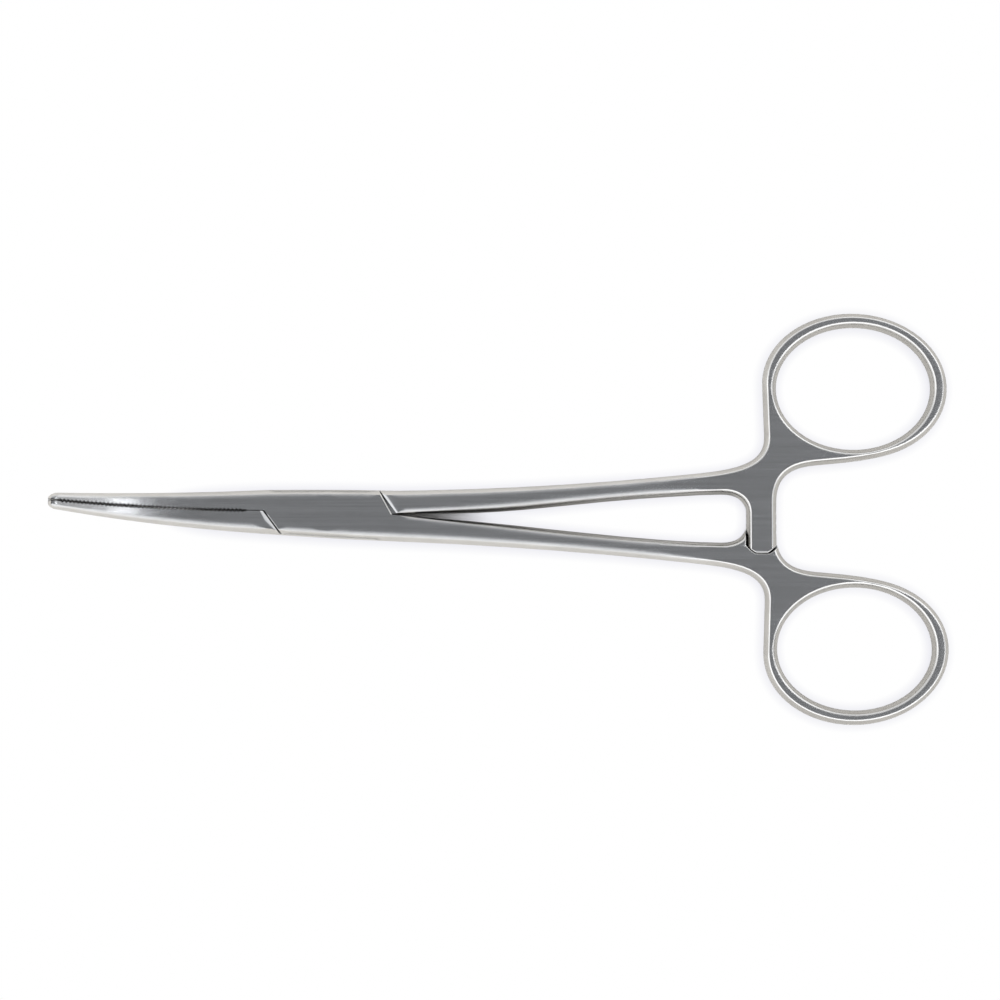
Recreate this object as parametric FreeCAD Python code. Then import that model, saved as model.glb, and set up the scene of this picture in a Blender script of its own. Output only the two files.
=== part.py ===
import FreeCAD, Part
import math
import os

V = FreeCAD.Vector

# Curved hemostatic forceps with a box lock, in millimetres.
# The instrument lies flat: X runs along it with the rings at +X, Y runs across it, Z is up.
# The origin is on the pin's axis at the underside of the box.
# While the solids are built the middle plane of the box is at z = 0. They are lifted at the end.

# Box lock
BOX_THICKNESS = 4.4
BOX_FRONT = 9.56           # pin to the front shoulder, where it meets the line of the jaws
BOX_BACK = 11.0            # pin to the last straight section of the box
BOX_TOP_FRONT = 3.75       # height in Y of the box's upper edge at its front
BOX_TOP_BACK = 3.65
BOX_TOP_BOW = 0.10
BOX_LOW_FRONT = -3.13
BOX_LOW_BACK = -4.31
BOX_LOW_BOW = -0.08
BOX_CROWN = 0.80           # how far the flat face stops short of the rounded side
TONGUE_THICKNESS = 2.0
TONGUE_SIDE_CLEARANCE = 0.05
TONGUE_RADIUS = 8.85       # the tongue's ends turn about the pin inside the window
WINDOW_END_CLEARANCE = 0.20
PIN_RADIUS = 1.4
PIN_RUNNING_CLEARANCE = 0.03
FRONT_SHOULDER_ANGLE = 53.5
SHOULDER_GAP = 0.18
SHOULDER_BEVEL = 0.52
SHOULDER_BEVEL_DROP = 0.22
CHEEK_EDGE_BEVEL = 0.16
CHEEK_CORNER_X = 10.4      # the cheek's rear corner, at the crotch
CHEEK_CORNER_Y = -0.15
CHEEK_REAR_ANGLE = 61.3
CROTCH_GAP_X = 0.70        # from the cheek's corner to the male shank's corner
CROTCH_GAP_Y = 0.15
MALE_REAR_ANGLE = 54.2

# Jaws
JAW_LENGTH = 43.5          # pin to tip, along the jaws
CURVE_START = 13.0         # pin to where the jaws begin to curve up
CURVE_RADIUS = 60.0
NOSE_LENGTH = 1.35
NOSE_WIDTH_SHARE = 0.6     # width left at the very tip
NOSE_THICKNESS_SHARE = 0.7
TIP_THICKNESS = 2.0
TIP_CROWN = 0.62
TIP_TOP = 2.98             # upper edge, lower edge and meeting line at the start of the nose
TIP_LOW = 0.36
TIP_LINE = 1.75
JAW_TOP_BOW = -0.13
JAW_LOW_BOW = -0.31
JAW_LINE_BACK = 0.47
JAW_LINE_BOW = -0.24
JAW_THINNING = 1.3         # power of the taper in thickness from box to tip
JAW_GAP = 0.12             # between the smooth lands of the two jaws
TOOTH_COUNT = 46
TOOTH_START = 12.6         # pin to the first groove
TOOTH_END_LAND = 1.4       # smooth length between the last groove and the tip
TOOTH_DEPTH = 0.30
TOOTH_DEPTH_TIP = 0.26
TOOTH_CLEARANCE = 0.20     # from a crest to the bottom of the groove that it stands in
TOOTH_LAND = 0.08          # flat left on each crest

# Shanks
HANDLE_START = 58.6        # pin to where the shank becomes the handle
HANDLE_AXIS_Y = -0.73      # the line that the two handles mirror about
HANDLE_THICKNESS = 3.1
HANDLE_CROWN = 0.72
SHANK_OUTER_END = 7.12     # outer and inner edge at the handle, from the handles' axis
SHANK_INNER_END = 3.68
SHANK_MALE_BOW = -0.56
SHANK_FEMALE_BOW = 0.43
SHANK_THINNING = 1.2
SHANK_INNER_CROWN = 0.80
SHANK_INNER_CROWN_CROTCH = 0.04
SHANK_INNER_CROWN_START = 0.15  # share of the inner crown just past the crotch
SHANK_INNER_CROWN_RUN = 0.42    # share of the shank over which it would grow from nothing to full
# Gap between the shanks: share of the way from box to handle, then how far each inner
# edge has left the crotch, as a share of its whole way out.
SHANK_GAP_COURSE = (
    (0.14, 0.02, 0.13),
    (0.28, 0.07, 0.26),
    (0.42, 0.22, 0.42),
    (0.60, 0.51, 0.635),
    (0.80, 0.80, 0.85),
)
BRIDGE_LENGTH = 0.8        # short blend between the shank's last section and the handle

# Handles, measured from HANDLE_START and from the handles' axis. A fillet's grip is how far
# its curve is drawn towards the corner, as a share of the fillet's width and of its height.
HANDLE_LEAD = 1.5          # the outline starts this much early and is trimmed square
SHANK_INNER_SLOPE = 0.025
SHANK_OUTER_SLOPE = 0.12
RING_CENTRE_X = 24.06
RING_CENTRE_Y = 20.39
RING_HOLE_LENGTH = 24.2
RING_HOLE_WIDTH = 19.2
RING_HOLE_POINTS = 16      # points that the hole's rim is drawn through
RING_OUTER_SHIFT_X = 0.24  # the outer oval sits further out than the hole
RING_OUTER_SHIFT_Y = 0.42
RING_OUTER_LENGTH = 29.0
RING_OUTER_WIDTH = 22.84
RING_TILT = -3.8
RING_ROOT_START = -64.5    # where the outer oval leaves the web, in degrees round the oval
RING_ROOT_END = 184.5
RING_ROOT_STRAIGHT = 8.0
ARM_X = 7.15
ARM_WIDTH = 4.81
ARM_REACH = 5.38           # how far the arm passes the handles' axis
ARM_CORNER_WIDTH = 1.5     # rounded corners of the arm's end
ARM_CORNER_HEIGHT = 1.3
ARM_CORNER_SWELL = 0.12    # how far a corner bulges past the straight line across it
ARM_FILLET_TOP = 0.9
ARM_FILLET_WIDTH = 3.85
ARM_FILLET_GRIP = (0.65, 0.60)
WEB_FILLET_START = 2.6
WEB_FILLET_WIDTH = 5.94
WEB_FILLET_HEIGHT = 8.33
WEB_FILLET_GRIP = (0.69, 0.63)
WEB_RIM_SLOPE = 0.09
SHOULDER_LINE = 1.4        # straight length of the shank's outer edge before the web
SHOULDER_FILLET_GRIP = (0.65, 0.64)
RECESS_CLEARANCE = 0.10
RECESS_SWING_CLEARANCE = 0.30
RECESS_END_CLEARANCE = 0.12
RATCHET_CREST_GAP = 0.10
RATCHET_TEETH = 3
RATCHET_PITCH = 1.5
RATCHET_DEPTH = 0.55
RATCHET_LAND = 0.08

SIDE_STRIPS = 6            # strips side by side that make up a rounded side, flat to flat
FAR = 14.0                 # reach of the cutting solids past the instrument
OVERLAP = 0.5              # how far one cutting solid runs into the next
SIDE_CUT_SPILL = 0.1       # how far the cut of a rounded side passes the flats
JAW_CUT_SECTIONS = 9       # sections that a cut along the jaws' meeting line is lofted through
GROOVE_SPILL = 0.03        # how far the cut of a groove passes the crests
HALF = BOX_THICKNESS / 2
HANDLE_HALF = HANDLE_THICKNESS / 2


def bowed(start, end, bow, share):
    """A value that runs from start to end and bulges by bow half way."""
    return start + (end - start) * share + 4 * bow * share * (1 - share)


def crown_radius(crown, half):
    return (crown * crown + half * half) / (2 * crown)


def crown_inset(crown, half, height):
    """How far a rounded side lies inside its widest line at a height off the middle plane."""
    radius = crown_radius(crown, half)
    return radius - math.sqrt(radius * radius - height * height)


def rise(along):
    """Angle that the jaws have curved up at a distance from the pin."""
    return max(0.0, along - CURVE_START) / CURVE_RADIUS


def place(along, y, off):
    """Point at a distance from the pin towards the tip, off the curved middle surface."""
    angle = rise(along)
    straight = min(along, CURVE_START)
    x = -straight - (CURVE_RADIUS - off) * math.sin(angle)
    z = CURVE_RADIUS - (CURVE_RADIUS - off) * math.cos(angle)
    return V(x, y, z)


def line(start, end):
    return Part.LineSegment(start, end).toShape()


def bezier(*poles):
    curve = Part.BezierCurve()
    curve.setPoles(list(poles))
    return curve


def rounded_side(along, edge, lean, half):
    """Round arc from the upper flat to the under one, in equal strips.

    It is widest at the given edge and leans to edge + lean at both flats.
    """
    radius = crown_radius(abs(lean), half)
    side = math.copysign(1.0, lean)
    centre = edge + side * radius
    step = 2 * math.asin(half / radius) / SIDE_STRIPS
    grip = 4 / 3 * math.tan(step / 4) * radius

    def near_arc(angle, ahead):
        y = centre - side * (radius * math.cos(angle) + ahead * math.sin(angle))
        return place(along, y, radius * math.sin(angle) - ahead * math.cos(angle))

    edges = []
    for number in range(SIDE_STRIPS):
        upper = step * (SIDE_STRIPS / 2 - number)
        lower = upper - step
        start, end = near_arc(upper, 0), near_arc(lower, 0)
        edges.append(bezier(start, near_arc(upper, grip), near_arc(lower, -grip), end).toShape())
    return edges


def strip_levels(crown, half, reach):
    """Heights between which the strips of a rounded side run, out to the given reach."""
    radius = crown_radius(crown, half)
    spread = math.asin(reach / radius)
    shares = [2 * number / SIDE_STRIPS - 1 for number in range(SIDE_STRIPS + 1)]
    return [radius * math.sin(spread * share) for share in shares]


def section(along, low, high, half, crown):
    """Closed section across the instrument: two flats joined by two rounded sides."""
    upper_flat = line(place(along, low + crown, half), place(along, high - crown, half))
    under_flat = line(place(along, high - crown, -half), place(along, low + crown, -half))
    high_side = rounded_side(along, high, -crown, half)
    low_side = rounded_side(along, low, crown, half)
    return Part.Wire([upper_flat] + high_side + [under_flat] + low_side[::-1])


def slab_section(along, edge, far):
    """Section of a cutting solid with one straight side on the given edge."""
    corners = [
        place(along, edge, FAR / 2),
        place(along, far, FAR / 2),
        place(along, far, -FAR / 2),
        place(along, edge, -FAR / 2),
    ]
    return Part.makePolygon(corners + corners[:1])


def side_section(along, edge, half, crown, far):
    """Section of a cutting solid that leaves a rounded side at the given edge."""
    reach = half + SIDE_CUT_SPILL
    side = 1 if far > edge else -1
    lean = side * crown_inset(crown, half, reach)
    corners = [
        place(along, edge - lean, -reach),
        place(along, far, -reach),
        place(along, far, reach),
        place(along, edge - lean, reach),
    ]
    straight = [line(start, end) for start, end in zip(corners, corners[1:])]
    return Part.Wire(rounded_side(along, edge, -lean, reach) + straight)


def prism(corners, low, high):
    """Upright solid over a plan outline."""
    points = [V(x, y, low) for x, y in corners]
    face = Part.Face(Part.makePolygon(points + points[:1]))
    return face.extrude(V(0, 0, high - low))


def block(x_low, x_high, y_low, y_high, z_low, z_high):
    size = (x_high - x_low, y_high - y_low, z_high - z_low)
    return Part.makeBox(*size, V(x_low, y_low, z_low))


def cylinder(radius, low, high):
    return Part.makeCylinder(radius, high - low, V(0, 0, low))


# The outer form that the two closed halves share

def jaw_share(along):
    return (along - BOX_FRONT) / (JAW_LENGTH - NOSE_LENGTH - BOX_FRONT)


def jaw_top(along):
    return bowed(BOX_TOP_FRONT, TIP_TOP, JAW_TOP_BOW, jaw_share(along))


def jaw_low(along):
    return bowed(BOX_LOW_FRONT, TIP_LOW, JAW_LOW_BOW, jaw_share(along))


def jaw_line(along):
    return bowed(JAW_LINE_BACK, TIP_LINE, JAW_LINE_BOW, jaw_share(along))


def jaw_half(along):
    share = max(0.0, jaw_share(along))
    return HALF + (TIP_THICKNESS / 2 - HALF) * share ** JAW_THINNING


def jaw_crown(along):
    return BOX_CROWN + (TIP_CROWN - BOX_CROWN) * jaw_share(along)


def jaw_section(along):
    return section(along, jaw_low(along), jaw_top(along), jaw_half(along), jaw_crown(along))


def box_section(share):
    """Section of the box, from its front at share 0 to its back at share 1."""
    along = BOX_FRONT - (BOX_FRONT + BOX_BACK) * share
    low = bowed(BOX_LOW_FRONT, BOX_LOW_BACK, BOX_LOW_BOW, share)
    high = bowed(BOX_TOP_FRONT, BOX_TOP_BACK, BOX_TOP_BOW, share)
    return section(along, low, high, HALF, BOX_CROWN)


def shank_x(share):
    return BOX_BACK + (HANDLE_START - BOX_BACK) * share


def shank_half(share):
    return HALF + (HANDLE_HALF - HALF) * share ** SHANK_THINNING


def shank_crown(share):
    return BOX_CROWN + (HANDLE_CROWN - BOX_CROWN) * share


def shank_top(share):
    return bowed(BOX_TOP_BACK, HANDLE_AXIS_Y + SHANK_OUTER_END, SHANK_MALE_BOW, share)


def shank_low(share):
    return bowed(BOX_LOW_BACK, HANDLE_AXIS_Y - SHANK_OUTER_END, SHANK_FEMALE_BOW, share)


def shank_section(share):
    half, crown = shank_half(share), shank_crown(share)
    return section(-shank_x(share), shank_low(share), shank_top(share), half, crown)


def nose():
    """Rounded tip of the closed jaws, past the last full section."""
    root = JAW_LENGTH - NOSE_LENGTH
    centre = (jaw_top(root) + jaw_low(root)) / 2
    half_width = (jaw_top(root) - jaw_low(root)) / 2
    sections = []
    for step in (0.0, 0.35, 0.65, 0.87, 1.0):
        width = math.sqrt(1 - (1 - NOSE_WIDTH_SHARE ** 2) * step ** 2)
        thick = math.sqrt(1 - (1 - NOSE_THICKNESS_SHARE ** 2) * step ** 2)
        low, high = centre - half_width * width, centre + half_width * width
        half, crown = jaw_half(root) * thick, jaw_crown(root) * width
        sections.append(section(root + NOSE_LENGTH * step, low, high, half, crown))
    return Part.makeLoft(sections, True, False)


def closed_form():
    """Jaws, box and shanks as one smooth form, as the two halves look when shut."""
    root = JAW_LENGTH - NOSE_LENGTH
    reach = root - BOX_FRONT
    last = 1 - BRIDGE_LENGTH / (HANDLE_START - BOX_BACK)
    sections = [jaw_section(BOX_FRONT + reach * s) for s in (1, 0.85, 0.7, 0.55, 0.4, 0.25, 0.12)]
    sections += [box_section(s) for s in (0, 0.25, 0.5, 0.75, 1)]
    sections += [shank_section(s) for s in (0.12, 0.25, 0.4, 0.55, 0.7, 0.85, last)]
    return Part.makeLoft(sections, True, False).fuse(nose())


# Cutting solids that part the two halves

def tooth_pitch():
    return (JAW_LENGTH - TOOTH_END_LAND - TOOTH_START) / TOOTH_COUNT


def tooth_depth(along):
    toothed = TOOTH_COUNT * tooth_pitch()
    return TOOTH_DEPTH + (TOOTH_DEPTH_TIP - TOOTH_DEPTH) * (along - TOOTH_START) / toothed


def crest_reach(along):
    """How far the crests of each jaw stand past the meeting line."""
    return (tooth_depth(along) - TOOTH_CLEARANCE) / 2


def beyond_jaw_line(start, end, shift, far):
    """Everything on one side of the jaws' meeting line, moved by a shift that varies along it."""
    sections = []
    for step in range(JAW_CUT_SECTIONS):
        along = start + (end - start) * step / (JAW_CUT_SECTIONS - 1)
        sections.append(slab_section(along, jaw_line(along) + shift(along), far))
    return Part.makeLoft(sections, True, False)


def jaw_parting(male):
    """Solids that trim one jaw to its crests, and lower to a smooth land at either end of them."""
    side = 1 if male else -1
    root = BOX_FRONT + OVERLAP / 2
    first_tooth = TOOTH_START + tooth_pitch() / 2
    last_tooth = JAW_LENGTH - TOOTH_END_LAND
    past_tip = JAW_LENGTH + 1

    def crest(along):
        return side * crest_reach(along)

    def land(along):
        return -side * JAW_GAP / 2

    return [
        beyond_jaw_line(root, past_tip, crest, side * FAR),
        beyond_jaw_line(root, first_tooth, land, side * FAR),
        beyond_jaw_line(last_tooth, past_tip, land, side * FAR),
    ]


def shank_inner(share, male):
    """Height in Y of a shank's inner edge."""
    rows = [(0.0, 0.0, 0.0)] + list(SHANK_GAP_COURSE) + [(1.0, 1.0, 1.0)]
    way = [row for row in rows if row[0] == share][0][1 if male else 2]
    if male:
        start, end = CHEEK_CORNER_Y + CROTCH_GAP_Y, HANDLE_AXIS_Y + SHANK_INNER_END
    else:
        start, end = CHEEK_CORNER_Y, HANDLE_AXIS_Y - SHANK_INNER_END
    return start + (end - start) * way


def along_shank(male, far):
    """Everything inside a shank's inner edge, from the crotch to the handle."""
    start = CHEEK_CORNER_X + CROTCH_GAP_X / 2 if male else CHEEK_CORNER_X
    crotch = shank_inner(0.0, male)
    sections = [side_section(-start, crotch, HALF, SHANK_INNER_CROWN_CROTCH, far)]
    for share in [row[0] for row in SHANK_GAP_COURSE] + [1.0]:
        grown = min(1.0, SHANK_INNER_CROWN_START + share / SHANK_INNER_CROWN_RUN)
        crown = SHANK_INNER_CROWN * grown
        edge = shank_inner(share, male)
        sections.append(side_section(-shank_x(share), edge, shank_half(share), crown, far))
    return Part.makeLoft(sections, True, False)


def lean(height, angle):
    """Run along X of a shoulder that climbs the given height."""
    return height / math.tan(math.radians(angle))


def front_corner_male():
    back_off = SHOULDER_GAP / math.sin(math.radians(FRONT_SHOULDER_ANGLE))
    return V(-BOX_FRONT - back_off, JAW_LINE_BACK - JAW_GAP / 2, 0)


def rear_corner_male():
    return V(CHEEK_CORNER_X + CROTCH_GAP_X, CHEEK_CORNER_Y + CROTCH_GAP_Y, 0)


def shoulder_way(angle, side):
    """Direction of a shoulder as it leaves its corner, towards +Y for side 1 and -Y for side -1."""
    return V(-math.cos(math.radians(angle)), math.sin(math.radians(angle)), 0) * side


def bevel(corner, way, lead, width, drop, inward):
    """Cutting solids that bevel the upper and under edge of a shoulder.

    The shoulder leaves the corner in the direction of way, and the bevel starts lead before
    the corner. The metal lies on the inward side in X.
    """
    into = V(-way.y, way.x, 0)
    if into.x * inward < 0:
        into = -into
    spill = drop * OVERLAP / width
    outside = corner - way * lead - into * OVERLAP
    across = into * (width + 2 * OVERLAP)
    cutters = []
    for side in (1, -1):
        corners = [
            outside + V(0, 0, side * (HALF - drop - spill)),
            outside + V(0, 0, side * (HALF + spill)) + across,
            outside + V(0, 0, side * (HALF + spill)),
        ]
        face = Part.Face(Part.makePolygon(corners + corners[:1]))
        cutters.append(face.extrude(way * (lead + FAR)))
    return cutters


def grooves(male):
    """Transverse grooves of one jaw. The two jaws are half a pitch apart, so they mesh."""
    pitch = tooth_pitch()
    half_mouth = (pitch - TOOTH_LAND) / 2
    side = 1 if male else -1
    cutters = []
    for number in range(TOOTH_COUNT):
        middle = TOOTH_START + pitch * (number + (0.5 if male else 1.0))
        depth = tooth_depth(middle)
        crest = side * crest_reach(middle)
        half_top = half_mouth * (1 + GROOVE_SPILL / depth)
        tilt = jaw_line(middle + half_mouth) - jaw_line(middle - half_mouth)
        slope = tilt / (2 * half_mouth)
        angle = rise(middle)
        normal = V(math.sin(angle), 0, math.cos(angle))
        tangent = V(-math.cos(angle), 0, math.sin(angle))
        centre = place(middle, jaw_line(middle) + crest, 0) - normal * FAR / 2
        top = centre + V(0, side * GROOVE_SPILL, 0)
        corners = [
            top + (tangent + V(0, slope, 0)) * -half_top,
            top + (tangent + V(0, slope, 0)) * half_top,
            centre - V(0, side * depth, 0),
        ]
        face = Part.Face(Part.makePolygon(corners + corners[:1]))
        cutters.append(face.extrude(normal * FAR))
    return cutters


# Handles

def inset_edge(curve, inset, z, samples):
    """An outline's curve moved to the left of its travel, which is into the metal."""
    first, last = curve.FirstParameter, curve.LastParameter
    points = []
    tangents = []
    for number in range(samples):
        at = first + (last - first) * number / (samples - 1)
        travel = curve.tangent(at)[0]
        points.append(curve.value(at) + V(-travel.y, travel.x, 0) * inset + V(0, 0, z))
        tangents.append(travel)
    if samples == 2:
        return line(points[0], points[1])
    gaps = samples - 1
    spline = Part.BSplineCurve()
    spline.interpolate(
        Points=points,
        Parameters=[number / gaps for number in range(samples)],
        InitialTangent=tangents[0] * (points[1] - points[0]).Length * gaps,
        FinalTangent=tangents[-1] * (points[-1] - points[-2]).Length * gaps,
        Scale=False,
    )
    return spline.toShape()


def handle_chains():
    """Plan outline of the upper handle as two chains of curves, each with how many points it takes.

    The first chain runs along the shank's inner edge and down the arm. The second climbs
    the arm, runs round the ring and comes back along the shank's outer edge.
    """
    start = HANDLE_START - HANDLE_LEAD
    arm_left = HANDLE_START + ARM_X
    arm_right = arm_left + ARM_WIDTH
    arm_foot = -ARM_REACH - 3
    inner_slope = V(1, SHANK_INNER_SLOPE, 0)
    outer_slope = V(1, SHANK_OUTER_SLOPE, 0)

    inner_start = V(HANDLE_START, SHANK_INNER_END, 0) - inner_slope * HANDLE_LEAD
    fillet_start = inner_start + inner_slope * (arm_left - ARM_FILLET_WIDTH - start)
    fillet_end = V(arm_left, ARM_FILLET_TOP, 0)
    arm_fillet = bezier(
        fillet_start,
        fillet_start + inner_slope * ARM_FILLET_GRIP[0] * ARM_FILLET_WIDTH,
        fillet_end + V(0, ARM_FILLET_GRIP[1] * (fillet_start.y - fillet_end.y), 0),
        fillet_end,
    )
    first = [
        (Part.LineSegment(inner_start, fillet_start), 2),
        (arm_fillet, 9),
        (Part.LineSegment(fillet_end, V(arm_left, arm_foot, 0)), 2),
    ]

    tilt = math.radians(RING_TILT)
    centre_x = HANDLE_START + RING_CENTRE_X + RING_OUTER_SHIFT_X
    centre = V(centre_x, RING_CENTRE_Y + RING_OUTER_SHIFT_Y, 0)
    major = centre + V(math.cos(tilt), math.sin(tilt), 0) * RING_OUTER_LENGTH / 2
    minor = centre + V(-math.sin(tilt), math.cos(tilt), 0) * RING_OUTER_WIDTH / 2
    oval = Part.Ellipse(major, minor, centre)
    ring = Part.ArcOfEllipse(oval, math.radians(RING_ROOT_START), math.radians(RING_ROOT_END))
    ring_start = ring.value(ring.FirstParameter)
    ring_start_way = ring.tangent(ring.FirstParameter)[0]
    ring_end = ring.value(ring.LastParameter)
    ring_end_way = ring.tangent(ring.LastParameter)[0]

    web_start = V(arm_right, WEB_FILLET_START, 0)
    web_end = V(arm_right + WEB_FILLET_WIDTH, WEB_FILLET_HEIGHT, 0)
    web_way = V(1, WEB_RIM_SLOPE, 0)
    web_reach = (ring_start.x - web_end.x) / 3
    web_fillet = bezier(
        web_start,
        web_start + V(0, WEB_FILLET_GRIP[1] * (web_end.y - web_start.y), 0),
        web_end - web_way * WEB_FILLET_GRIP[0] * WEB_FILLET_WIDTH,
        web_end,
    )
    web_rim = bezier(
        web_end,
        web_end + web_way * web_reach,
        ring_start - ring_start_way * web_reach,
        ring_start,
    )

    neck = ring_end + ring_end_way * RING_ROOT_STRAIGHT
    outer_end = V(HANDLE_START, SHANK_OUTER_END, 0) + outer_slope * SHOULDER_LINE
    shoulder_fillet = bezier(
        neck,
        neck + ring_end_way * SHOULDER_FILLET_GRIP[1] * (neck.y - outer_end.y),
        outer_end + outer_slope * SHOULDER_FILLET_GRIP[0] * (neck.x - outer_end.x),
        outer_end,
    )
    outer_start = outer_end - outer_slope * (outer_end.x - start)
    second = [
        (Part.LineSegment(V(arm_right, arm_foot, 0), web_start), 2),
        (web_fillet, 9),
        (web_rim, 7),
        (ring, 17),
        (Part.LineSegment(ring_end, neck), 2),
        (shoulder_fillet, 9),
        (Part.LineSegment(outer_end, outer_start), 2),
    ]
    return first, second


def chain_edges(chain, inset, z):
    return [inset_edge(curve, inset, z, samples) for curve, samples in chain]


def ring_hole():
    """Cutting solid that leaves the rounded inside of the finger ring."""
    turns = [2 * math.pi * step / RING_HOLE_POINTS for step in range(RING_HOLE_POINTS + 1)]
    rims = []
    for z in strip_levels(HANDLE_CROWN, HANDLE_HALF, HANDLE_HALF + SIDE_CUT_SPILL):
        inset = crown_inset(HANDLE_CROWN, HANDLE_HALF, abs(z))
        centre = V(HANDLE_START + RING_CENTRE_X, RING_CENTRE_Y, z)
        oval = Part.Ellipse(centre, RING_HOLE_LENGTH / 2 + inset, RING_HOLE_WIDTH / 2 + inset)
        points = [oval.value(turn) for turn in turns[:-1]]
        rim = Part.BSplineCurve()
        rim.interpolate(Points=points, Parameters=turns, PeriodicFlag=True)
        rims.append(Part.Wire([rim.toShape()]))
    return Part.makeLoft(rims, True, True)


def handle_blank():
    """Crowned plate of the upper handle with its ring hole, about the handles' own axis."""
    first, second = handle_chains()
    wires = []
    for z in strip_levels(HANDLE_CROWN, HANDLE_HALF, HANDLE_HALF):
        inset = crown_inset(HANDLE_CROWN, HANDLE_HALF, abs(z))
        down = chain_edges(first, inset, z)
        back = chain_edges(second, inset, z)
        foot = line(down[-1].Vertexes[-1].Point, back[0].Vertexes[0].Point)
        end = line(back[-1].Vertexes[-1].Point, down[0].Vertexes[0].Point)
        wires.append(Part.Wire(down + [foot] + back + [end]))
    plate = Part.makeLoft(wires, True, True)
    lead = block(HANDLE_START - FAR, HANDLE_START, -FAR, FAR, -FAR, FAR)
    return plate.cut([ring_hole(), lead])


def arm_corner(x, end_y, inward):
    """Curve that rounds one corner of the arm's end, from its side to its end."""
    start = V(x, end_y + ARM_CORNER_HEIGHT, 0)
    end = V(x + inward * ARM_CORNER_WIDTH, end_y, 0)
    outward = V(-inward * ARM_CORNER_HEIGHT, -ARM_CORNER_WIDTH, 0).normalize()
    middle = (start + end) / 2 + outward * ARM_CORNER_SWELL
    return Part.Arc(start, middle, end).toShape()


def arm_end(left, right, end_y, root_y, height):
    """Solid with the plan of the arm's rounded end, from its root to end_y."""
    left_corner = arm_corner(left, end_y, 1)
    right_corner = arm_corner(right, end_y, -1)
    outline = Part.Wire([
        line(V(left, root_y, 0), left_corner.Vertexes[0].Point),
        left_corner,
        line(left_corner.Vertexes[-1].Point, right_corner.Vertexes[-1].Point),
        right_corner,
        line(right_corner.Vertexes[0].Point, V(right, root_y, 0)),
        line(V(right, root_y, 0), V(left, root_y, 0)),
    ])
    return Part.Face(outline).extrude(V(0, 0, height))


def arm_end_cutter():
    """Trims the ratchet arm to length and rounds the corners of its end."""
    left = HANDLE_START + ARM_X
    right = left + ARM_WIDTH
    waste_top = ARM_CORNER_HEIGHT - ARM_REACH
    waste = block(left - OVERLAP, right + OVERLAP, -ARM_REACH - FAR, waste_top, -FAR, FAR)
    keep = arm_end(left, right, -ARM_REACH, 0, 2 * FAR)
    keep.translate(V(0, 0, -FAR))
    return waste.cut(keep)


def arm_recess():
    """Room under the arm's level for the other handle's arm, shaped like that arm's end."""
    left = HANDLE_START + ARM_X - RECESS_CLEARANCE
    right = HANDLE_START + ARM_X + ARM_WIDTH + RECESS_SWING_CLEARANCE
    room = arm_end(left, right, -ARM_REACH - RECESS_END_CLEARANCE, ARM_REACH + FAR, FAR)
    room.rotate(V(0, 0, 0), V(1, 0, 0), 180)
    room.translate(V(0, 0, RATCHET_CREST_GAP / 2))
    return room


def ratchet_notches():
    """Saw teeth on the arm's inner face. The steep sides hold against opening."""
    left = HANDLE_START + ARM_X - OVERLAP
    span = RATCHET_TEETH * RATCHET_PITCH
    face_z = RATCHET_CREST_GAP / 2
    notches = []
    for number in range(RATCHET_TEETH):
        start = -span / 2 + RATCHET_PITCH * number
        corners = [
            V(left, start, 0),
            V(left, start, face_z + RATCHET_DEPTH),
            V(left, start + RATCHET_PITCH - RATCHET_LAND, face_z),
            V(left, start + RATCHET_PITCH - RATCHET_LAND, 0),
        ]
        face = Part.Face(Part.makePolygon(corners + corners[:1]))
        notches.append(face.extrude(V(ARM_WIDTH + 2 * OVERLAP, 0, 0)))
    return notches


def handle():
    """Finished upper handle: ring, web and the ratchet arm on its upper side."""
    return handle_blank().cut([arm_end_cutter(), arm_recess()] + ratchet_notches())


def end_wire(shape, x):
    """Outline of the flat face that closes a shape at the given X."""
    faces = [f for f in shape.Faces if f.BoundBox.XLength < 1e-4]
    faces = [f for f in faces if abs(f.BoundBox.XMin - x) < 1e-4]
    return max(faces, key=lambda f: f.Area).OuterWire


def join(shank, grip):
    """Fuses a shank to its handle with a short blend between their end faces."""
    rear = end_wire(shank, HANDLE_START - BRIDGE_LENGTH)
    front = end_wire(grip, HANDLE_START)
    bridge = Part.makeLoft([rear, front], True, True)
    return shank.fuse([bridge, grip])


# The three pieces

def upper_handle():
    grip = handle()
    grip.translate(V(0, HANDLE_AXIS_Y, 0))
    return grip


def lower_handle():
    """The same handle turned over about the instrument's long axis."""
    grip = handle()
    grip.rotate(V(0, 0, 0), V(1, 0, 0), 180)
    grip.translate(V(0, HANDLE_AXIS_Y, 0))
    return grip


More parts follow.
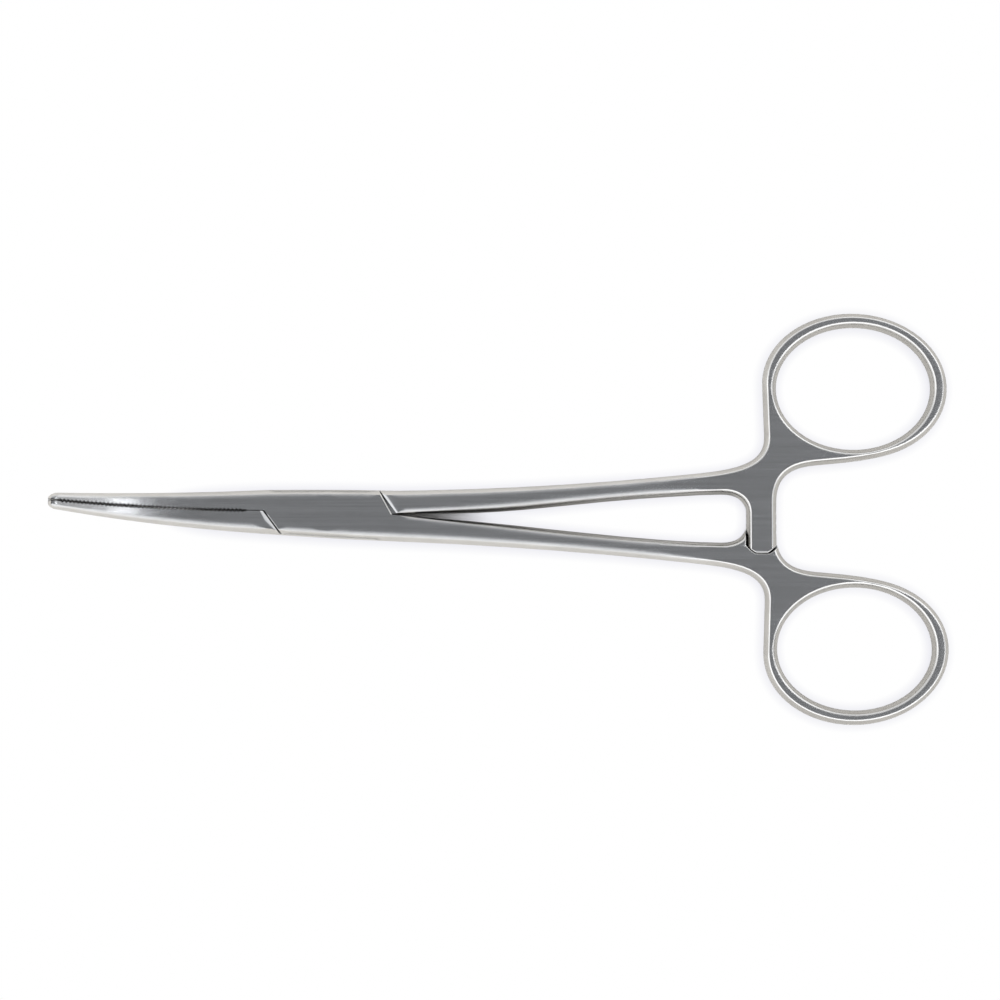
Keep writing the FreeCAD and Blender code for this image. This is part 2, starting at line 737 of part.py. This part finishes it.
def female_half(form):
    """Half with the box: upper jaw, cheeks round the window, lower shank and lower ring."""
    line_y = JAW_LINE_BACK + JAW_GAP / 2
    window = TONGUE_THICKNESS / 2 + TONGUE_SIDE_CLEARANCE
    window_radius = TONGUE_RADIUS + WINDOW_END_CLEARANCE
    below_front = prism([
        (-BOX_FRONT - OVERLAP, line_y),
        (-BOX_FRONT, line_y),
        (-BOX_FRONT + lean(line_y + FAR, FRONT_SHOULDER_ANGLE), -FAR),
        (-BOX_FRONT - OVERLAP, -FAR),
    ], -FAR, FAR)
    above_rear = prism([
        (CHEEK_CORNER_X - lean(FAR - CHEEK_CORNER_Y, CHEEK_REAR_ANGLE), FAR),
        (CHEEK_CORNER_X, CHEEK_CORNER_Y),
        (CHEEK_CORNER_X + OVERLAP, CHEEK_CORNER_Y),
        (CHEEK_CORNER_X + OVERLAP, FAR),
    ], -FAR, FAR)
    slot = cylinder(window_radius, -window, window).fuse([
        block(-BOX_FRONT - OVERLAP, 0, -FAR, line_y, -window, window),
        block(0, CHEEK_CORNER_X + OVERLAP, CHEEK_CORNER_Y, FAR, -window, window),
    ])
    hole = cylinder(PIN_RADIUS, -FAR, FAR)
    parting = jaw_parting(False) + [along_shank(False, FAR)]
    rear_corner = V(CHEEK_CORNER_X, CHEEK_CORNER_Y, 0)
    rear_way = shoulder_way(CHEEK_REAR_ANGLE, 1)
    edge = bevel(rear_corner, rear_way, 0, CHEEK_EDGE_BEVEL, CHEEK_EDGE_BEVEL, -1)
    body = form.cut(parting + [below_front, above_rear, slot, hole])
    body = body.cut(edge).cut(grooves(False))
    return join(body, lower_handle())


def male_half(form):
    """Half with the tongue: lower jaw, tongue through the window, upper shank and upper ring."""
    line_y = JAW_LINE_BACK - JAW_GAP / 2
    tongue = TONGUE_THICKNESS / 2
    front, rear = front_corner_male(), rear_corner_male()
    cheek_plan = [
        (-BOX_FRONT - OVERLAP, FAR),
        (-BOX_FRONT - OVERLAP, line_y),
        (front.x, line_y),
        (front.x + lean(line_y + FAR, FRONT_SHOULDER_ANGLE), -FAR),
        (rear.x, -FAR),
        (rear.x, rear.y),
        (rear.x - lean(FAR - rear.y, MALE_REAR_ANGLE), FAR),
    ]
    disc = cylinder(TONGUE_RADIUS, -FAR, FAR)
    front_wall = block(-BOX_FRONT - OVERLAP, 0, line_y, FAR, -HALF, HALF).cut(disc)
    rear_wall = block(0, rear.x, -FAR, rear.y, -HALF, HALF).cut(disc)
    cutters = [
        prism(cheek_plan, tongue, FAR),
        prism(cheek_plan, -FAR, -tongue),
        front_wall,
        rear_wall,
        cylinder(PIN_RADIUS + PIN_RUNNING_CLEARANCE, -FAR, FAR),
        along_shank(True, -FAR),
    ]
    body = form.cut(cutters + jaw_parting(True))
    front_way = shoulder_way(FRONT_SHOULDER_ANGLE, -1)
    rear_way = shoulder_way(MALE_REAR_ANGLE, 1)
    body = body.cut(bevel(front, front_way, 1, SHOULDER_BEVEL, SHOULDER_BEVEL_DROP, -1))
    body = body.cut(bevel(rear, rear_way, 1, SHOULDER_BEVEL, SHOULDER_BEVEL_DROP, 1))
    body = body.cut(grooves(True))
    return join(body, upper_handle())


def joint_pin():
    return cylinder(PIN_RADIUS, -HALF, HALF)


def main():
    os.makedirs("parts", exist_ok=True)
    form = closed_form()
    nodes = {
        "female_half": female_half(form),
        "male_half": male_half(form),
        "joint_pin": joint_pin(),
    }
    for name, shape in nodes.items():
        shape.translate(V(0, 0, HALF))
        solids = shape.Solids
        print(name, "solids", len(solids), "valid", shape.isValid(), "volume", round(shape.Volume, 2))
        solids[0].exportStep("parts/" + name + ".step")


main()
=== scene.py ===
"""Curved hemostatic forceps in satin steel, lying on a white table and seen from above.

The origin is on the joint pin's axis. X runs to the finger rings, Y across and Z up.
"""

import math

import bpy
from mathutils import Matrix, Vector

MM = 0.001

# Places on the closed forceps. A pair of places is where a change begins and where it ends.
JAW_LINE_AT_PIN = -0.18 * MM    # height in Y of the straight line that the teeth keep near
JAW_LINE_SLOPE = 0.0434         # how much that line climbs towards the tip
JAW_LINE_REACH = 0.25 * MM      # the jaws' meeting edges stay this close to it, teeth apart
TEETH_REACH = 0.50 * MM         # the teeth stay this close to it
LAST_TOOTH_X = -12.3 * MM
BOX_END_X = (11.5 * MM, 12.5 * MM)
FRONT_SHOULDER = (-8.9 * MM, -1.5 * MM, 53.5)   # a point on the slanted joint, and its slant
REAR_SHOULDER = (9.8 * MM, 1.5 * MM, 61.0)
SHOULDER_REACH = 0.55 * MM
SHOULDER_SIDE = (-1.4 * MM, -0.8 * MM)          # a shoulder counts on its own side only
PIN_REACH = 1.8 * MM
SHANK_START_X = 14 * MM
SHANK_END_X = (64 * MM, 70 * MM)
HANDLE_X = (52 * MM, 64 * MM)   # soft edges give way to crisp ones along this stretch
DULL_X = (58 * MM, 74 * MM)     # the sides turn duller along this one
ELSEWHERE = 3 * MM              # added to the distance from an edge that does not count

# Edges
CREASE_ANGLE = 33               # degrees that the surface turns by at a crease of the handles
SHARP_ANGLE = 30                # degrees that it turns by where the smooth shading breaks
WELD = 0.002 * MM               # points closer than this become one
CRISP_EDGE = 0.125 * MM         # polished line round the handles
CRISP_STEPS = 2
POLISHED_SLOT = 1               # the material slot of that line
FLAT_WEIGHT = 50
SOFT_RADIUS = 1.3 * MM          # hand-rounded edges of jaws, box and shanks
SOFT_SHARE = 0.9                # of the distance to a crisp edge that a soft one may fill
SOFT_SAMPLES = 10
TOOTH_RIM = 0.34 * MM
FLAT_LEAN = (0.70, 0.99)        # from side to flat, by the upward part of the normal
RIM_LEAN = (0.998, 0.955)       # from a plain surface to the edge of a tooth
INNER_LEAN = (-0.84, -0.97)     # to the inner side of a shank, by the outward part

# Steel
FLAT_TINT = (0.57, 0.585, 0.61)
SIDE_TINT = (0.73, 0.72, 0.70)
HANDLE_TINT = (0.58, 0.57, 0.55)
POLISHED_TINT = (0.97, 0.97, 0.97)
ROUGHNESS = 0.20
ROUGHNESS_SPREAD = 0.02
SMEAR_ROUGHNESS = 0.03
POLISHED_ROUGHNESS = 0.32
LINE_DEPTH = 0.0008 * MM        # of the brushed lines
LINE_SHADE = 0.06               # how far a brushed line is lighter or darker than the flat
SMEAR_SHADES = (1.04, 0.94)     # clean and smeared
POLISHED_SMEAR_SHADE = 0.9
DOT_SHADE = 0.82
# painted shade down in crevices, gaps and hollows
CREVICE_PAINTED_SHADE = 0.05
# painted shade along the edges of the teeth
TOOTH_EDGE_PAINTED_SHADE = 0.05
# painted shade on the inner sides of the shanks
INNER_PAINTED_SHADE = 0.36              # inner sides of the shanks, which face each other

# Brushed lines, smears and dots: how fine the noise is along X, Y and Z, and which part of its
# range shows
FINE_LINES = (60, 8200, 8200)
COARSE_LINES = (24, 2600, 2600)
FINE_SHARE = 0.65
LINE_RANGE = (0.3, 0.7)
BAND_RANGE = (0.35, 0.65)
CLOUDS = (160, 420, 420)
CLOUD_RANGE = (0.4, 0.7)
DOTS = 3200
DOT_RANGE = (0.72, 0.8)

# Painted shade in crevices
CREVICE_DISTANCE = 0.6 * MM
CREVICE_RANGE = (0.25, 0.6)
CREVICE_SAMPLES = 12

# Table
TABLE_SIZE = 6.0
TABLE_PLACE = (0.03, 0, -0.02 * MM)
TABLE_TINT = (0.93, 0.915, 0.89)
TABLE_ROUGHNESS = 0.9
SHADOW_TINT = (0.80, 0.80, 0.86)
SHADOW_DISTANCE = 2.2 * MM
SHADOW_RANGE = (0.35, 0.95)
WHITE_RANGE = (0.30, 0.46)      # more open than this, the camera sees the table plain white
SHADOW_SAMPLES = 16
WHITE = (1.0, 1.0, 1.0)

# Room. Each ramp gives levels of light over a part of the direction, from 0 to 1.
NEAR_SIDE = ((0.0, 0.85), (0.30, 1.25), (0.88, 1.35), (0.925, 0.60), (0.955, 0.28), (1.0, 0.25))
FAR_SIDE = ((0.0, 1.0), (0.30, 0.95), (0.60, 0.66), (0.85, 0.35), (0.95, 0.27), (1.0, 0.25))
LAMP_STRIP = (
    (0.0, 0.25),
    (0.27, 0.32),
    (0.378, 0.60),
    (0.402, 4.4),
    (0.426, 4.4),
    (0.448, 0.62),
    (0.52, 0.52),
    (1.0, 0.62),
)
RIGHT_END = (1.25, 1.25, 1.25)

# Where each part of the room takes over, by the X, Y or Z of the direction
FAR_SIDE_Y = (0.05, 0.40)
RIGHT_END_X = (0.25, 0.50)
RIGHT_END_Z = (0.92, 0.80)
LAMP_STRIP_X = (0.20, 0.26)
LAMP_STRIP_Y = (0.34, 0.22)

# Camera
CAMERA_TARGET = (27.26, 2.20, 2.20)
CAMERA_DISTANCE = 480 * MM
CAMERA_TILT = 3                 # degrees off the vertical
PICTURE_WIDTH = 156.7 * MM      # what the picture spans at the target
SENSOR_WIDTH = 36
NEAREST_AND_FARTHEST = (0.01, 20)   # metres from the camera

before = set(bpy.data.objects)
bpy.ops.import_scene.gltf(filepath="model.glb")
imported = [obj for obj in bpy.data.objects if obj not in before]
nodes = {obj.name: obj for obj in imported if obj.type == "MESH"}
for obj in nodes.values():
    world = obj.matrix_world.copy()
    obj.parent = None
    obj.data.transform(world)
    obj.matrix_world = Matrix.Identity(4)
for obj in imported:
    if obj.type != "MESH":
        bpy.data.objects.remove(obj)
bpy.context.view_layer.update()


# Node trees

def feed(tree, socket, value):
    """Sets a socket to a number or a colour, or links another socket to it."""
    if isinstance(value, tuple):
        socket.default_value = (*value, 1)
    elif isinstance(value, (int, float)):
        socket.default_value = value
    else:
        tree.links.new(value, socket)


def math_node(tree, operation, first, second=None):
    node = tree.nodes.new("ShaderNodeMath")
    node.operation = operation
    feed(tree, node.inputs[0], first)
    if second is not None:
        feed(tree, node.inputs[1], second)
    return node.outputs[0]


def product(tree, first, *others):
    for other in others:
        first = math_node(tree, "MULTIPLY", first, other)
    return first


def spread(tree, value, low, high, to_low=0.0, to_high=1.0):
    """Turns the range from low to high into the range from to_low to to_high."""
    node = tree.nodes.new("ShaderNodeMapRange")
    ends = {"From Min": low, "From Max": high, "To Min": to_low, "To Max": to_high}
    for label, number in {"Value": value, **ends}.items():
        feed(tree, node.inputs[label], number)
    return node.outputs["Result"]


def axes_of(tree, vector):
    node = tree.nodes.new("ShaderNodeSeparateXYZ")
    tree.links.new(vector, node.inputs[0])
    return node.outputs["X"], node.outputs["Y"], node.outputs["Z"]


def blended(tree, factor, first, second, way="MIX"):
    node = tree.nodes.new("ShaderNodeMix")
    node.data_type = "RGBA"
    node.blend_type = way
    for label, value in (("Factor", factor), ("A", first), ("B", second)):
        feed(tree, node.inputs[label], value)
    return node.outputs["Result"]


def tinted(tree, colour, shade):
    return blended(tree, 1.0, colour, shade, "MULTIPLY")


def openness(tree, distance, samples):
    """1 in the open, and 0 where other surfaces close in."""
    node = tree.nodes.new("ShaderNodeAmbientOcclusion")
    node.samples = samples
    feed(tree, node.inputs["Distance"], distance)
    return node.outputs["AO"]


# Rounded edges and shading of the forged halves

def geometry_group(name):
    group = bpy.data.node_groups.new(name, "GeometryNodeTree")
    for way in ("INPUT", "OUTPUT"):
        group.interface.new_socket("Geometry", in_out=way, socket_type="NodeSocketGeometry")
    return group, group.nodes.new("NodeGroupInput"), group.nodes.new("NodeGroupOutput")


def steeper_than(group, degrees):
    angle = group.nodes.new("GeometryNodeInputMeshEdgeAngle")
    return math_node(group, "GREATER_THAN", angle.outputs["Unsigned Angle"], math.radians(degrees))


def handle_creases():
    """Welds the surface and marks the creases of the handles, for the bevel that follows."""
    group, start, end = geometry_group("handle_creases")
    weld = group.nodes.new("GeometryNodeMergeByDistance")
    weld.inputs["Distance"].default_value = WELD
    group.links.new(start.outputs[0], weld.inputs["Geometry"])
    place = group.nodes.new("GeometryNodeInputPosition")
    x, _, _ = axes_of(group, place.outputs[0])
    mark = product(group, steeper_than(group, CREASE_ANGLE), spread(group, x, *HANDLE_X))
    store = group.nodes.new("GeometryNodeStoreNamedAttribute")
    store.data_type = "FLOAT"
    store.domain = "EDGE"
    store.inputs["Name"].default_value = "bevel_weight_edge"
    group.links.new(weld.outputs[0], store.inputs["Geometry"])
    group.links.new(mark, store.inputs["Value"])
    group.links.new(store.outputs[0], end.inputs[0])
    return group


def smooth_runs():
    """Shades each run of small facets as one smooth surface."""
    group, start, end = geometry_group("smooth_runs")
    smooth = group.nodes.new("GeometryNodeSetShadeSmooth")
    smooth.domain = "FACE"
    group.links.new(start.outputs[0], smooth.inputs["Geometry"])
    split = group.nodes.new("GeometryNodeSetShadeSmooth")
    split.domain = "EDGE"
    split.inputs["Shade Smooth"].default_value = False
    group.links.new(smooth.outputs[0], split.inputs["Geometry"])
    group.links.new(steeper_than(group, SHARP_ANGLE), split.inputs["Selection"])
    group.links.new(split.outputs[0], end.inputs[0])
    return group


def round_edges(node, creases):
    """Gives the marked creases a narrow bevel, which becomes the polished line."""
    mark = node.modifiers.new("mark", "NODES")
    mark.node_group = creases
    bevel = node.modifiers.new("round", "BEVEL")
    bevel.limit_method = "WEIGHT"
    bevel.offset_type = "OFFSET"
    bevel.width = CRISP_EDGE
    bevel.segments = CRISP_STEPS
    bevel.use_clamp_overlap = False
    bevel.loop_slide = True
    bevel.material = POLISHED_SLOT


def shade_surface(node, shading):
    shade = node.modifiers.new("shade", "NODES")
    shade.node_group = shading
    weighted = node.modifiers.new("flat_stays_flat", "WEIGHTED_NORMAL")
    weighted.keep_sharp = True
    weighted.weight = FLAT_WEIGHT


# Effects that the finishes share

def shader_group(name, inputs, outputs):
    group = bpy.data.node_groups.new(name, "ShaderNodeTree")
    for way, sockets in (("INPUT", inputs), ("OUTPUT", outputs)):
        for label, kind in sockets.items():
            group.interface.new_socket(label, in_out=way, socket_type="NodeSocket" + kind)
    return group, group.nodes.new("NodeGroupInput"), group.nodes.new("NodeGroupOutput")


def mapped(group, source, scale):
    node = group.nodes.new("ShaderNodeMapping")
    node.inputs["Scale"].default_value = scale
    group.links.new(source, node.inputs["Vector"])
    return node.outputs[0]


def noise(group, vector, scale=1.0, detail=1.0, roughness=0.5):
    node = group.nodes.new("ShaderNodeTexNoise")
    node.inputs["Scale"].default_value = scale
    node.inputs["Detail"].default_value = detail
    node.inputs["Roughness"].default_value = roughness
    group.links.new(vector, node.inputs["Vector"])
    return node.outputs["Fac"]


def brushing_group():
    """Fine straight belt-ground lines along X, with a few coarser ones among them."""
    outputs = {"Lines": "Float", "Bands": "Float"}
    group, start, end = shader_group("brushing", {"Place": "Vector"}, outputs)
    place = start.outputs["Place"]
    fine = noise(group, mapped(group, place, FINE_LINES), detail=2.0, roughness=0.6)
    coarse = noise(group, mapped(group, place, COARSE_LINES))
    fine_part = product(group, fine, FINE_SHARE)
    coarse_part = product(group, coarse, 1 - FINE_SHARE)
    group.links.new(math_node(group, "ADD", fine_part, coarse_part), end.inputs["Lines"])
    group.links.new(spread(group, coarse, *BAND_RANGE), end.inputs["Bands"])
    return group


def handling_group():
    """Faint cloudy smears and pin-prick dots, as on an instrument that has been handled."""
    outputs = {"Smear": "Float", "Dots": "Float"}
    group, start, end = shader_group("handling", {"Place": "Vector"}, outputs)
    place = start.outputs["Place"]
    cloud = noise(group, mapped(group, place, CLOUDS), detail=3.0, roughness=0.55)
    group.links.new(spread(group, cloud, *CLOUD_RANGE), end.inputs["Smear"])
    dot = noise(group, place, scale=DOTS)
    group.links.new(spread(group, dot, *DOT_RANGE), end.inputs["Dots"])
    return group


def crevice_shade_group():
    """Painted shade: 0 down in the grooves, gaps and hollows, 1 outside them."""
    group, start, end = shader_group("painted_crevice_shade", {"Distance": "Float"}, {"Open": "Float"})
    near = openness(group, start.outputs["Distance"], CREVICE_SAMPLES)
    group.links.new(spread(group, near, *CREVICE_RANGE), end.inputs["Open"])
    return group


def off_jaw_line(group, x, y):
    """Distance from the line that the closed jaws' teeth keep near."""
    climb = product(group, x, JAW_LINE_SLOPE)
    line = math_node(group, "SUBTRACT", JAW_LINE_AT_PIN, climb)
    return math_node(group, "ABSOLUTE", math_node(group, "SUBTRACT", y, line))


def off_shoulder(group, x, y, shoulder):
    """Distance from a slanted joint of the box lock."""
    at_x, at_y, slant = shoulder
    across = math_node(group, "SUBTRACT", x, at_x)
    across = product(group, across, math.sin(math.radians(slant)))
    up = math_node(group, "SUBTRACT", y, at_y)
    up = product(group, up, math.cos(math.radians(slant)))
    away = math_node(group, "ABSOLUTE", math_node(group, "ADD", across, up))
    outward = product(group, y, math.copysign(1.0, at_y))
    return math_node(group, "ADD", away, spread(group, outward, *SHOULDER_SIDE, ELSEWHERE, 0.0))


def off_pin(group, x, y):
    squares = math_node(group, "ADD", product(group, x, x), product(group, y, y))
    return math_node(group, "POWER", squares, 0.5)


def soft_radius(group, x, y, from_line, widest):
    """Radius of the soft edges: none on the handles, and no more than crisp edges leave free."""
    radius = spread(group, x, *HANDLE_X, widest, 0.0)
    past_box = spread(group, x, *BOX_END_X, 0.0, ELSEWHERE)
    for distance, reach in (
        (math_node(group, "ADD", from_line, past_box), JAW_LINE_REACH),
        (off_pin(group, x, y), PIN_REACH),
        (off_shoulder(group, x, y, FRONT_SHOULDER), SHOULDER_REACH),
        (off_shoulder(group, x, y, REAR_SHOULDER), SHOULDER_REACH),
    ):
        free = product(group, math_node(group, "SUBTRACT", distance, reach), SOFT_SHARE)
        radius = math_node(group, "MINIMUM", radius, math_node(group, "MAXIMUM", free, 0.0))
    return radius


def hand_polish_group():
    """Normal that turns softly over the long edges, within the radii Soft and Tooth.

    Flat is 1 on the flats and 0 on the sides, and Rim is 1 along the edges of the teeth, where
    shade is painted.
    """
    inputs = {"Place": "Vector", "Soft": "Float", "Tooth": "Float"}
    outputs = {"Normal": "Vector", "Flat": "Float", "Rim": "Float"}
    group, start, end = shader_group("hand_polish", inputs, outputs)
    x, y, _ = axes_of(group, start.outputs["Place"])
    from_line = off_jaw_line(group, x, y)
    on_jaws = math_node(group, "LESS_THAN", x, LAST_TOOTH_X)
    teeth = product(group, on_jaws, math_node(group, "LESS_THAN", from_line, TEETH_REACH))
    elsewhere = math_node(group, "SUBTRACT", 1.0, teeth)
    soft = soft_radius(group, x, y, from_line, start.outputs["Soft"])
    soft = product(group, soft, elsewhere)
    turn = group.nodes.new("ShaderNodeBevel")
    turn.samples = SOFT_SAMPLES
    radius = math_node(group, "ADD", soft, product(group, teeth, start.outputs["Tooth"]))
    group.links.new(radius, turn.inputs["Radius"])
    group.links.new(turn.outputs[0], end.inputs["Normal"])
    _, _, upward = axes_of(group, turn.outputs[0])
    upward = math_node(group, "ABSOLUTE", upward)
    group.links.new(spread(group, upward, *FLAT_LEAN), end.inputs["Flat"])
    surface = group.nodes.new("ShaderNodeNewGeometry")
    lean = group.nodes.new("ShaderNodeVectorMath")
    lean.operation = "DOT_PRODUCT"
    group.links.new(turn.outputs[0], lean.inputs[0])
    group.links.new(surface.outputs["Normal"], lean.inputs[1])
    tooth_edge_shade = spread(group, lean.outputs["Value"], *RIM_LEAN)
    group.links.new(product(group, tooth_edge_shade, teeth), end.inputs["Rim"])
    return group


def zones_group():
    """Handles, whose sides are duller, and the inner sides of the shanks, which get painted shade.
    """
    outputs = {"Handle": "Float", "Inner": "Float"}
    group, start, end = shader_group("zones", {"Place": "Vector"}, outputs)
    x, y, _ = axes_of(group, start.outputs["Place"])
    group.links.new(spread(group, x, *DULL_X), end.inputs["Handle"])
    coordinates = group.nodes.new("ShaderNodeTexCoord")
    _, facing, _ = axes_of(group, coordinates.outputs["Normal"])
    outward = product(group, facing, math_node(group, "SIGN", y))
    inner = product(
        group,
        spread(group, outward, *INNER_LEAN),
        math_node(group, "GREATER_THAN", x, SHANK_START_X),
        spread(group, x, *SHANK_END_X, 1.0, 0.0),
    )
    group.links.new(inner, end.inputs["Inner"])
    return group


# Finishes

def placed(tree, group, **values):
    """Puts an effect into a finish, with the finish's own values."""
    node = tree.nodes.new("ShaderNodeGroup")
    node.node_tree = group
    for label, value in values.items():
        feed(tree, node.inputs[label], value)
    return node.outputs


def metal(name):
    """New metal material, with its tree, its shader and the place on the surface."""
    material = bpy.data.materials.new(name)
    material.use_nodes = True
    tree = material.node_tree
    shader = tree.nodes["Principled BSDF"]
    shader.inputs["Metallic"].default_value = 1.0
    return material, tree, shader, tree.nodes.new("ShaderNodeTexCoord").outputs["Object"]


def satin_steel(name, effects):
    """Brushed on the flats, satin on the rounded sides."""
    material, tree, shader, place = metal(name)
    brushed = placed(tree, effects["brushing"], Place=place)
    handled = placed(tree, effects["handling"], Place=place)
    shade_in_crevices = placed(tree, effects["painted_crevice_shade"], Distance=CREVICE_DISTANCE)
    polish = placed(tree, effects["hand_polish"], Place=place, Soft=SOFT_RADIUS, Tooth=TOOTH_RIM)
    zones = placed(tree, effects["zones"], Place=place)

    lines = spread(tree, brushed["Lines"], *LINE_RANGE, -LINE_SHADE, LINE_SHADE)
    shade = product(
        tree,
        math_node(tree, "ADD", product(tree, lines, polish["Flat"]), 1.0),
        spread(tree, handled["Smear"], 0, 1, *SMEAR_SHADES),
        spread(tree, handled["Dots"], 0, 1, 1.0, DOT_SHADE),
        # painted shade in crevices
        spread(tree, shade_in_crevices["Open"], 0, 1, CREVICE_PAINTED_SHADE, 1.0),
        # painted shade along the edges of the teeth
        spread(tree, polish["Rim"], 0, 1, 1.0, TOOTH_EDGE_PAINTED_SHADE),
        # painted shade on the inner sides of the shanks
        spread(tree, zones["Inner"], 0, 1, 1.0, INNER_PAINTED_SHADE),
    )
    sides = blended(tree, zones["Handle"], SIDE_TINT, HANDLE_TINT)
    colour = tinted(tree, blended(tree, polish["Flat"], sides, FLAT_TINT), shade)
    tree.links.new(colour, shader.inputs["Base Color"])

    smoothest, roughest = ROUGHNESS - ROUGHNESS_SPREAD, ROUGHNESS + ROUGHNESS_SPREAD
    rough = spread(tree, brushed["Bands"], 0, 1, smoothest, roughest)
    smeared = spread(tree, handled["Smear"], 0, 1, 0.0, SMEAR_ROUGHNESS)
    tree.links.new(math_node(tree, "ADD", rough, smeared), shader.inputs["Roughness"])

    bump = tree.nodes.new("ShaderNodeBump")
    bump.inputs["Strength"].default_value = 1.0
    bump.inputs["Distance"].default_value = LINE_DEPTH
    tree.links.new(product(tree, brushed["Lines"], polish["Flat"]), bump.inputs["Height"])
    tree.links.new(polish["Normal"], bump.inputs["Normal"])
    tree.links.new(bump.outputs["Normal"], shader.inputs["Normal"])
    return material


def polished_line(name, effects):
    """The bright line that the polishing wheel leaves where a flat meets a side."""
    material, tree, shader, place = metal(name)
    shader.inputs["Roughness"].default_value = POLISHED_ROUGHNESS
    handled = placed(tree, effects["handling"], Place=place)
    shade_in_crevices = placed(tree, effects["painted_crevice_shade"], Distance=CREVICE_DISTANCE)
    shade = product(
        tree,
        spread(tree, handled["Smear"], 0, 1, 1.0, POLISHED_SMEAR_SHADE),
        # painted shade in crevices
        spread(tree, shade_in_crevices["Open"], 0, 1, CREVICE_PAINTED_SHADE, 1.0),
    )
    tree.links.new(tinted(tree, POLISHED_TINT, shade), shader.inputs["Base Color"])
    return material


def clothe(node, *materials):
    node.data.materials.clear()
    for material in materials:
        node.data.materials.append(material)


# Table, light and camera

def table_top():
    """White table. The camera sees it plain white except close to the steel, where a shadow is
    painted into its glow.
    """
    bpy.ops.mesh.primitive_plane_add(size=TABLE_SIZE, location=TABLE_PLACE)
    floor = bpy.context.object
    floor.name = "table_top"
    material = bpy.data.materials.new("table_white")
    material.use_nodes = True
    tree = material.node_tree
    matte = tree.nodes["Principled BSDF"]
    matte.inputs["Base Color"].default_value = (*TABLE_TINT, 1)
    matte.inputs["Roughness"].default_value = TABLE_ROUGHNESS
    matte.inputs["Specular IOR Level"].default_value = 0.0
    open_sky = openness(tree, SHADOW_DISTANCE, SHADOW_SAMPLES)
    glow = tree.nodes.new("ShaderNodeEmission")
    # painted shadow: the glow takes the shadow tint where the steel closes in
    painted_shadow_colour = blended(tree, spread(tree, open_sky, *SHADOW_RANGE), SHADOW_TINT, WHITE)
    tree.links.new(painted_shadow_colour, glow.inputs["Color"])
    rays = tree.nodes.new("ShaderNodeLightPath")
    seen = product(tree, rays.outputs["Is Camera Ray"], spread(tree, open_sky, *WHITE_RANGE))
    mix = tree.nodes.new("ShaderNodeMixShader")
    tree.links.new(seen, mix.inputs["Fac"])
    tree.links.new(matte.outputs[0], mix.inputs[1])
    tree.links.new(glow.outputs[0], mix.inputs[2])
    tree.links.new(mix.outputs[0], tree.nodes["Material Output"].inputs["Surface"])
    floor.data.materials.append(material)


def brightness(tree, value, stops):
    """Ramp from a direction's component to a level of light."""
    ramp = tree.nodes.new("ShaderNodeValToRGB")
    tree.links.new(value, ramp.inputs["Fac"])
    elements = ramp.color_ramp.elements
    elements[0].position = 0.0
    elements[1].position = 1.0
    while len(elements) < len(stops):
        elements.new(0.5)
    for element, (position, level) in zip(elements, stops):
        element.position = position
        element.color = (level, level, level, 1)
    return ramp.outputs["Color"]


def studio():
    """A soft white room: bright from the near side and the right, dark overhead.

    A narrow lamp over the rings draws the highlight across the curved jaws.
    """
    world = bpy.data.worlds.new("studio")
    bpy.context.scene.world = world
    world.use_nodes = True
    tree = world.node_tree
    direction = tree.nodes.new("ShaderNodeTexCoord").outputs["Generated"]
    x, y, z = axes_of(tree, direction)
    near_side = brightness(tree, z, NEAR_SIDE)
    far_side = brightness(tree, z, FAR_SIDE)
    room = blended(tree, spread(tree, y, *FAR_SIDE_Y), near_side, far_side)
    to_right = product(tree, spread(tree, z, *RIGHT_END_Z), spread(tree, x, *RIGHT_END_X))
    room = blended(tree, to_right, room, RIGHT_END)
    sideways = math_node(tree, "ABSOLUTE", y)
    in_line = product(tree, spread(tree, sideways, *LAMP_STRIP_Y), spread(tree, x, *LAMP_STRIP_X))
    room = blended(tree, in_line, room, brightness(tree, x, LAMP_STRIP))
    rays = tree.nodes.new("ShaderNodeLightPath")
    colour = blended(tree, rays.outputs["Is Camera Ray"], room, WHITE)
    tree.links.new(colour, tree.nodes["Background"].inputs["Color"])
    tree.nodes["Background"].inputs["Strength"].default_value = 1.0


def camera():
    """Hangs over the middle of the forceps, a little off the vertical."""
    tilt = math.radians(CAMERA_TILT)
    back = Vector((0, -math.sin(tilt), math.cos(tilt)))
    data = bpy.data.cameras.new("camera")
    data.sensor_width = SENSOR_WIDTH
    data.lens = SENSOR_WIDTH * CAMERA_DISTANCE / PICTURE_WIDTH
    data.clip_start, data.clip_end = NEAREST_AND_FARTHEST
    eye = bpy.data.objects.new("camera", data)
    eye.location = Vector(CAMERA_TARGET) * MM + back * CAMERA_DISTANCE
    eye.rotation_euler = (tilt, 0, 0)
    bpy.context.scene.collection.objects.link(eye)
    bpy.context.scene.camera = eye


effects = {
    "brushing": brushing_group(),
    "handling": handling_group(),
    "painted_crevice_shade": crevice_shade_group(),
    "hand_polish": hand_polish_group(),
    "zones": zones_group(),
}
satin = satin_steel("satin_steel_finish", effects)
line = polished_line("polished_edge", effects)
creases = handle_creases()
shading = smooth_runs()
for name in ("female_half", "male_half"):
    clothe(nodes[name], satin, line)
    round_edges(nodes[name], creases)
    shade_surface(nodes[name], shading)
clothe(nodes["joint_pin"], satin_steel("pin_steel_finish", effects))

table_top()
studio()
camera()
bpy.context.scene.view_settings.view_transform = "Standard"
